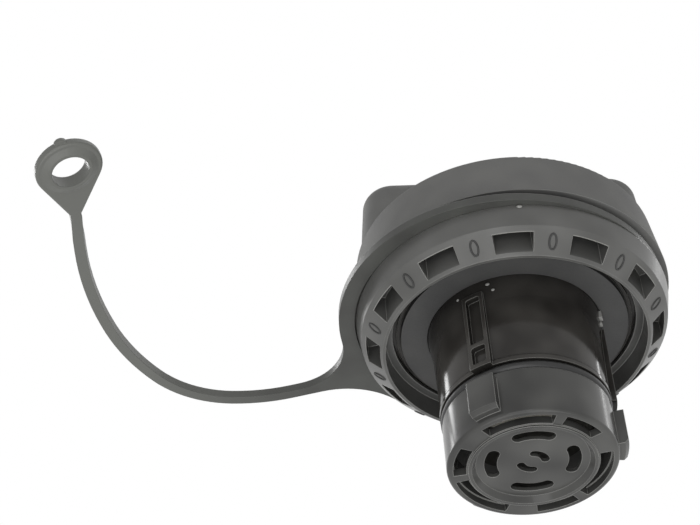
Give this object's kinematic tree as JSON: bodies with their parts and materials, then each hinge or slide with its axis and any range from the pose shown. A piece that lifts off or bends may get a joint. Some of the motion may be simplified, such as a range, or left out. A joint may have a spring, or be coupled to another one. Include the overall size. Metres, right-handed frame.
{
  "type": "fuel filler cap",
  "caption": "Round fuel tank filler cap with grip bar, windowed retaining ring, sealed plug with bayonet lugs and vent valve, and a strap with an eyelet.",
  "frame": {"origin": "on the cap's axis, in the plane of the plug's lower end rim that the cap stands on", "axes": "+Z along the cap's axis from the plug's end to the grip, +X along the grip bar, the strap leaves towards -X"},
  "size_m": [0.1485, 0.1022, 0.086],
  "materials": {
    "cover_plastic": "matte",
    "ring_plastic": "satin",
    "plug_plastic": "gloss",
    "housing_plastic": "satin",
    "mechanism_plastic": "satin",
    "slide_plastic": "satin",
    "tether_plastic": "satin",
    "gasket_rubber": "matte",
    "seal_rubber": "satin",
    "spring_steel": "polished"
  },
  "bodies": {
    "plug": {"plug_body": "plug_plastic", "flange_gasket": "gasket_rubber", "neck_o_ring": "seal_rubber", "valve_housing": "housing_plastic", "valve_seat": "mechanism_plastic", "seat_o_ring": "seal_rubber", "spring_cap": "mechanism_plastic", "ratchet_ring": "mechanism_plastic", "slide_ring": "slide_plastic"},
    "turning_cover": {"cover": "cover_plastic", "retaining_ring": "ring_plastic", "drive_ring": "mechanism_plastic", "spring_washer": "spring_steel"},
    "tether": {"tether": "tether_plastic"},
    "pressure_valve": {"pressure_plate": "mechanism_plastic", "pressure_seal": "seal_rubber", "pressure_spring": "spring_steel"},
    "vacuum_valve": {"vacuum_poppet": "mechanism_plastic", "vacuum_seal": "seal_rubber", "vacuum_spring": "spring_steel", "vacuum_clip": "spring_steel"}
  },
  "joints": [
    {"name": "cover_turn", "type": "hinge", "parent": "plug", "child": "turning_cover", "pos_m": [0, 0, 0.045], "axis": [0, 0, 1], "continuous": true},
    {"name": "tether_swivel", "type": "hinge", "parent": "turning_cover", "child": "tether", "pos_m": [-0.0024, 0, 0.04705], "axis": [0, 0, 1], "continuous": true},
    {"name": "pressure_lift", "type": "slide", "parent": "plug", "child": "pressure_valve", "axis": [0, 0, 1], "range_m": [0, 0.002], "stiffness_N_per_m": 600, "springref_m": -0.004, "deforming": ["pressure_spring"]},
    {"name": "vacuum_drop", "type": "slide", "parent": "pressure_valve", "child": "vacuum_valve", "axis": [0, 0, -1], "range_m": [0, 0.0015], "stiffness_N_per_m": 60, "springref_m": -0.002, "deforming": ["vacuum_spring"]}
  ]
}
